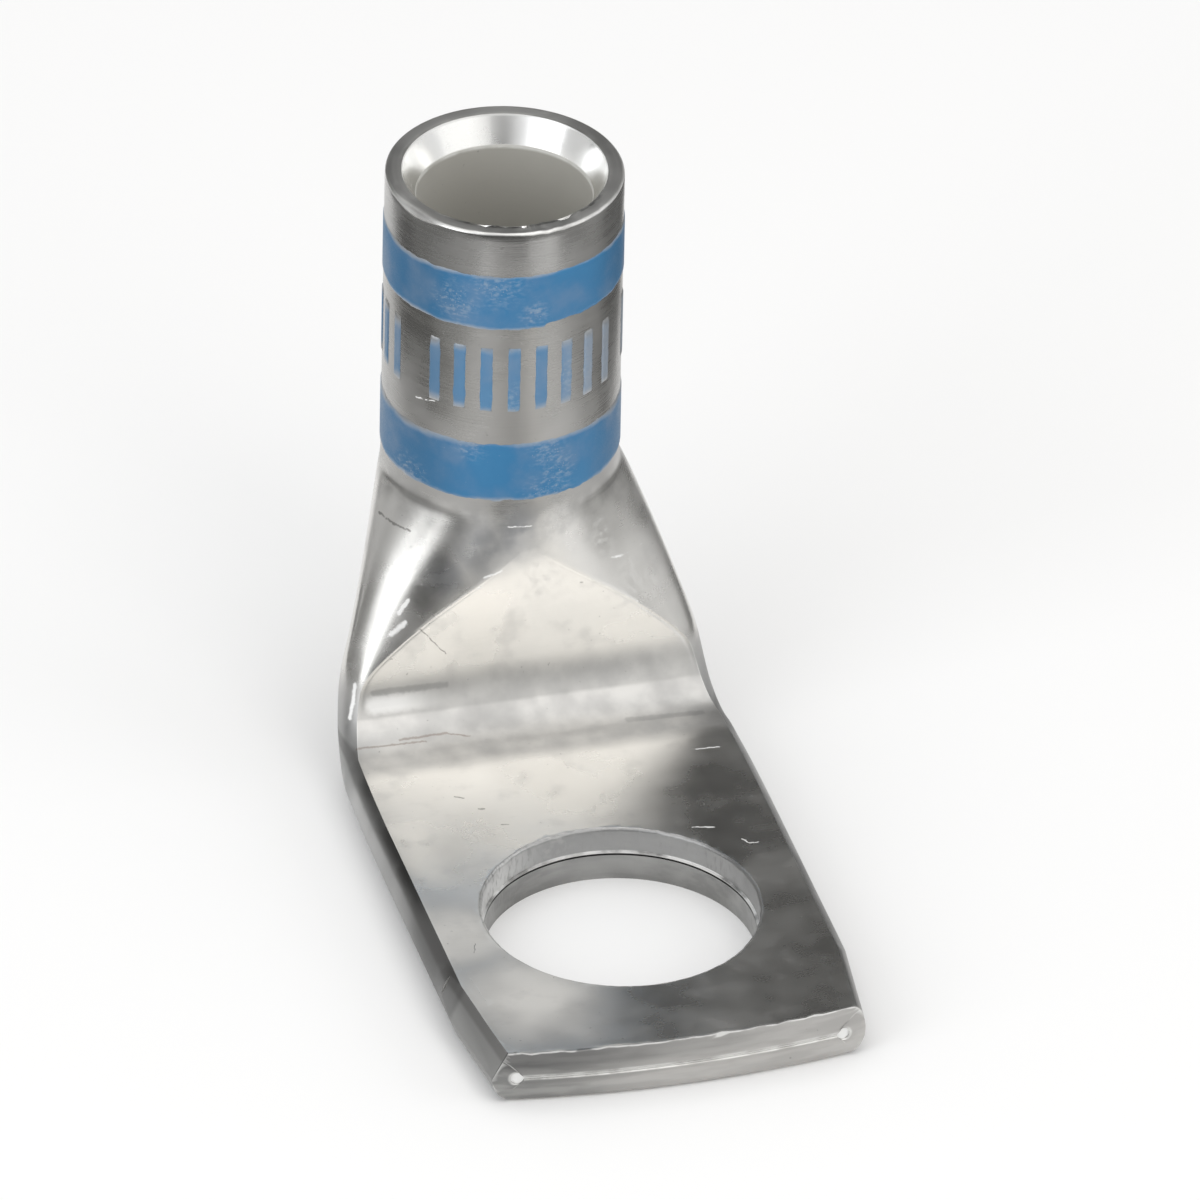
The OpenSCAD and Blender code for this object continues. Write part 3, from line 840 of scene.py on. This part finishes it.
def ink_film(name, from_angle, to_angle, low, high, across_steps, up_steps, wander, seed, lap=0):
    """A film on the barrel between two angles and two heights. Its edges thin out and wander.
    The first rows are its outer face, the others its inner one. A lap is a step in its edge,
    which starts just right of the front and dies away round the barrel."""
    bpy.ops.object.select_all(action="DESELECT")
    bpy.ops.mesh.primitive_grid_add(x_subdivisions=across_steps,
                                    y_subdivisions=2*up_steps, size=1)
    film = bpy.context.object
    film.name = name
    all_round = to_angle - from_angle > 359
    coat = []
    for j in range(2*up_steps + 1):
        for i in range(across_steps + 1):
            s, t = i/across_steps, 1 - abs(1 - j/up_steps)
            angle = math.radians(mix(from_angle, to_angle, s))
            spot = Vector((math.sin(angle), -math.cos(angle), 0))*barrel_r
            shift = Vector((seed*2.7, seed*1.3, 0))
            bottom = low + wander*(0.5 + 0.5*noise.noise(spot/(0.5*mm) + shift)
                                   + 0.3*noise.noise(spot/(0.16*mm) + shift))
            bottom += lap*ease((angle - 0.09)/0.02)*ease((2.8 - angle)/2)
            top = high - wander*(0.5 + 0.5*noise.noise(spot/(0.5*mm) - shift)
                                 + 0.3*noise.noise(spot/(0.16*mm) - shift))
            height = mix(bottom, top, t)
            rim = min(t, 1 - t)*(high - low)
            if not all_round:
                inset = wander*(0.4 + 0.6*noise.noise(Vector((0, seed, height/(0.4*mm)))))
                angle += (0.5 - s)*2*inset/barrel_r
                rim = min(rim, min(s, 1 - s)*barrel_r*math.radians(to_angle - from_angle))
            r = barrel_r + (ink_t*min(1, rim/ink_taper) if j < up_steps else 0)
            coat.append((r*math.sin(angle), barrel_y - r*math.cos(angle), height))
    film.data.vertices.foreach_set("co", np.array(coat, dtype=np.float32).reshape(-1))
    film.data.update()
    bpy.ops.object.mode_set(mode="EDIT")
    bpy.ops.mesh.select_all(action="SELECT")
    bpy.ops.mesh.remove_doubles(threshold=weld)
    bpy.ops.mesh.normals_make_consistent(inside=False)
    bpy.ops.object.mode_set(mode="OBJECT")
    bpy.ops.object.shade_smooth_by_angle(angle=math.radians(60))
    return film


def ink_material(name, low, high, fade, strength, worn_spots, faint=1):
    """Blue ink that fades towards its edges and is rubbed through to the tin in places. It is
    thinner at the sides and painted darker there as shade, and as faint as faint says towards the
    right."""
    ink = bpy.data.materials.new(name)
    ink.use_nodes = True
    tree = ink.node_tree
    shader = tree.nodes["Principled BSDF"]
    coords = node(tree, "TexCoord").outputs["Object"]
    x, y, z = node(tree, "SeparateXYZ", {0: coords}).outputs
    clouds = grain(tree, coords, 1.3*mm, 4)
    flecks = grain(tree, coords, 0.05*mm, 3)
    smears = grain(tree, coords, 0.14*mm, 6, (0.7, 0.7, 1.3))
    drawn = grain(tree, coords, 0.12*mm, 3, (0.25, 0.25, 2.2))
    side_thin_and_shaded = spread(tree, sums(tree, "ABSOLUTE", x), 1.6*mm, 3.3*mm)
    inwards = sums(tree, "MINIMUM", sums(tree, "SUBTRACT", z, low),
                   sums(tree, "SUBTRACT", high, z))
    uneven = product(tree, sums(tree, "SUBTRACT", clouds, 0.5), 2*fade)
    inwards = product(tree, total(tree, inwards, uneven), spread(tree, side_thin_and_shaded, 0, 1, 1, 0.7))
    cover = spread(tree, inwards, -0.3*fade, fade)
    uncovered = product(tree, sums(tree, "SUBTRACT", 1, cover),
                        spread(tree, side_thin_and_shaded, 0, 1, 0.3, 0.05))
    cover = product(tree, total(tree, cover, uncovered), spread(tree, x, 0.3*mm, 2.4*mm, 1, faint))
    scuffed = marked(tree, coords, worn_spots, patch)
    thinned = product(tree, scuffed, spread(tree, smears, 0.45, 0.75, 0, 0.3))
    specks = total(tree, flecks, product(tree, scuffed, 0.11))
    specks = spread(tree, specks, 0.7, 0.82, 0, 0.5)
    missing = sums(tree, "MAXIMUM", thinned, specks)
    cover = product(tree, cover, sums(tree, "SUBTRACT", 1, missing),
                    spread(tree, clouds, 0.25, 0.6, strength - 0.12, strength))
    blue = blend(tree, clouds, (0.017, 0.14, 0.325), (0.033, 0.21, 0.42))
    blue = tinted(tree, blue, (0.16, 0.35, 0.56), scuffed,
                  spread(tree, smears, 0.4, 0.75, 0, 0.25))
    # The ink is painted darker towards the sides of the barrel as shade.
    blue = tinted(tree, blue, (0.012, 0.08, 0.17), side_thin_and_shaded, 0.55)
    colour = blend(tree, cover, (0.58, 0.57, 0.55), blue)
    tree.links.new(colour, shader.inputs["Base Color"])
    tree.links.new(spread(tree, cover, 0, 0.9, 1, 0), shader.inputs["Metallic"])
    tree.links.new(spread(tree, flecks, 0.3, 0.7, 0.36, 0.5), shader.inputs["Roughness"])
    height = total(tree, cover, product(tree, drawn, 0.35))
    bump = node(tree, "Bump", {"Height": height, "Strength": 0.8, "Distance": 0.006*mm})
    tree.links.new(bump.outputs[0], shader.inputs["Normal"])
    return ink


upper_film = ink_film("upper_band", -180, 180, *upper_band, 360, 20, 0.09*mm, 1, lap=0.12*mm)
upper_film.data.materials.append(ink_material(
    "upper_blue_ink", *upper_band, 0.16*mm, 1.0,
    [((-2.32, 11.94, 16.76), 1.1), ((0.01, 11.13, 16.37), 0.7), ((-1.2, 11.2, 17.6), 1.3)]))
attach(upper_film, "root")
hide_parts("upper_ink_band")

lower_film = ink_film("lower_band", -180, 180, *lower_band, 360, 20, 0.12*mm, 2)
lower_film.data.materials.append(ink_material(
    "lower_blue_ink", *lower_band, 0.22*mm, 1.0,
    [((0.52, 11.17, 11.31), 0.9), ((0.56, 11.21, 9.7), 1.2), ((0.9, 11.2, 10.5), 0.9),
     ((-1.85, 11.62, 11.57), 0.8), ((-3.4, 13.2, 9.7), 1.1)]))
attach(lower_film, "root")
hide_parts("lower_ink_band")

# Between the bands the tube is printed in the same ink, kept here as plain pairs of upright
# strokes: four pairs in each of three groups. The print is fainter towards its right.
group_angle = -2.5
group_turn = 120
mark_turn = group_turn/4.5
stroke_w = 0.42*mm
stroke_gap = 0.44*mm
stroke_turn = math.degrees(stroke_w/barrel_r)
stroke_pitch = math.degrees((stroke_w + stroke_gap)/barrel_r)
strokes = []
for group in range(3):
    for mark in range(4):
        for side in (-0.5, 0.5):
            start = (group_angle + group_turn*group + mark_turn*(mark - 1.5)
                     + stroke_pitch*side - stroke_turn/2)
            strokes.append(ink_film("stroke", start, start + stroke_turn, *mark_rows, 10, 30,
                                    0.05*mm, 10 + len(strokes)))
for stroke in strokes:
    stroke.select_set(True)
bpy.context.view_layer.objects.active = strokes[0]
bpy.ops.object.join()
print_row = bpy.context.object
print_row.name = "print_row"
print_row.data.materials.append(ink_material(
    "print_blue_ink", *mark_rows, 0.3*mm, 0.9,
    [((1.5, 11.4, 13.9), 1.3), ((2.9, 12.3, 14.5), 1.5), ((-0.6, 11.1, 13.2), 1.0)], faint=0.55))
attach(print_row, "root")
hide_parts("ink_marks")


# The lug stands on a pale table in a white tent. Soft boxes light it, and dark and grey cards
# beyond the picture's edge give the metal something to mirror, as in a product studio.
bpy.ops.mesh.primitive_plane_add(size=1.6)
table = bpy.context.object
table.name = "table"
white = bpy.data.materials.new("white_table")
white.use_nodes = True
shader = white.node_tree.nodes["Principled BSDF"]
shader.inputs["Base Color"].default_value = (0.94, 0.94, 0.94, 1)
shader.inputs["Roughness"].default_value = 0.9
shader.inputs["Specular IOR Level"].default_value = 0
table.data.materials.append(white)

world = bpy.data.worlds.new("tent")
bpy.context.scene.world = world
world.use_nodes = True
world.node_tree.nodes["Background"].inputs["Color"].default_value = (1, 1, 1, 1)
world.node_tree.nodes["Background"].inputs["Strength"].default_value = 0.62


def direction(azimuth, elevation):
    """An azimuth counts from the front towards the right."""
    a, e = math.radians(azimuth), math.radians(elevation)
    return Vector((math.sin(a)*math.cos(e), -math.cos(a)*math.cos(e), math.sin(e)))


lug_middle = Vector((0, 6*mm, 6*mm))


def lamp(name, azimuth, elevation, distance, width, height, level, tint):
    """A soft box whose face is as bright as level, where 1 is white."""
    way = direction(azimuth, elevation)
    bpy.ops.object.light_add(type="AREA", location=lug_middle + way*distance)
    box = bpy.context.object
    box.name = name
    box.data.shape = "RECTANGLE"
    box.data.size = width
    box.data.size_y = height
    box.data.energy = level*math.pi*width*height
    box.data.color = tint
    box.rotation_euler = way.to_track_quat("Z", "Y").to_euler()


def card(name, corners, level):
    """A flat card that only the metal sees."""
    bpy.ops.object.select_all(action="DESELECT")
    bpy.ops.mesh.primitive_plane_add(size=1)
    flag = bpy.context.object
    flag.name = name
    for vertex, corner in zip(flag.data.vertices, corners):
        vertex.co = corner
    paper = bpy.data.materials.new(name)
    paper.use_nodes = True
    paper.node_tree.nodes.clear()
    glow = paper.node_tree.nodes.new("ShaderNodeEmission")
    glow.inputs["Color"].default_value = (level, level, level*0.98, 1)
    surface = paper.node_tree.nodes.new("ShaderNodeOutputMaterial")
    paper.node_tree.links.new(glow.outputs["Emission"], surface.inputs["Surface"])
    flag.data.materials.append(paper)
    flag.visible_camera = False
    flag.visible_diffuse = False
    flag.visible_shadow = False


def standing_card(name, from_azimuth, to_azimuth, distance, bottom, top, level):
    """A card that stands on the table between two azimuths and two elevations."""
    left, right = direction(from_azimuth, 0)*distance, direction(to_azimuth, 0)*distance
    low = Vector((0, 0, distance*math.tan(math.radians(bottom))))
    high = Vector((0, 0, distance*math.tan(math.radians(top))))
    card(name, (left + low, right + low, left + high, right + high), level)


def lying_card(name, left, right, front, back, level):
    """A card that lies on the table, between two x and two y in millimetres."""
    corners = ((left, front), (right, front), (left, back), (right, back))
    card(name, [Vector((x, y, 0.05))*mm for x, y in corners], level)


lamp("left_box", -64, 25, 0.35, 0.22, 0.28, 1.7, (0.96, 0.98, 1.0))
lamp("front_box", 20, 42, 0.35, 0.15, 0.26, 1.22, (1.0, 0.975, 0.945))
lamp("right_box", 68, 27, 0.35, 0.22, 0.13, 1.1, (1.0, 1.0, 1.0))
lamp("top_box", 0, 90, 0.4, 0.5, 0.5, 0.75, (1.0, 0.99, 0.97))
standing_card("back_card", 122, 238, 0.2, 4, 50, 0.07)
standing_card("low_front_card", -50, 4, 0.15, 0, 13, 0.05)
standing_card("front_card", -25, -3, 0.15, 13, 38, 0.16)
standing_card("bright_card", 20, 66, 0.15, 9, 34, 1.1)
standing_card("mid_card", 3, 20, 0.15, 2, 34, 0.85)
standing_card("left_rear_card", -165, -128, 0.2, 0, 35, 0.3)
standing_card("near_left_card", -132, -84, 0.032, 0, 20.5, 0.24)
lying_card("front_lying_card", -19.6, 4, -150, -15.5, 0.17)
lying_card("left_front_lying_card", -150, -19.6, -150, -12, 0.1)
lying_card("left_lying_card", -150, -19.6, -12, 10, 0.34)
lying_card("left_rear_lying_card", -150, -19.6, 10, 60, 0.14)
lying_card("front_right_lying_card", 4, 18.8, -150, -19, 0.3)
lying_card("right_lying_card", 18.8, 150, -60, 14, 0.34)
lying_card("right_rear_lying_card", 18.8, 150, 14, 60, 0.16)

view = bpy.context.scene.view_settings
view.view_transform = "Standard"
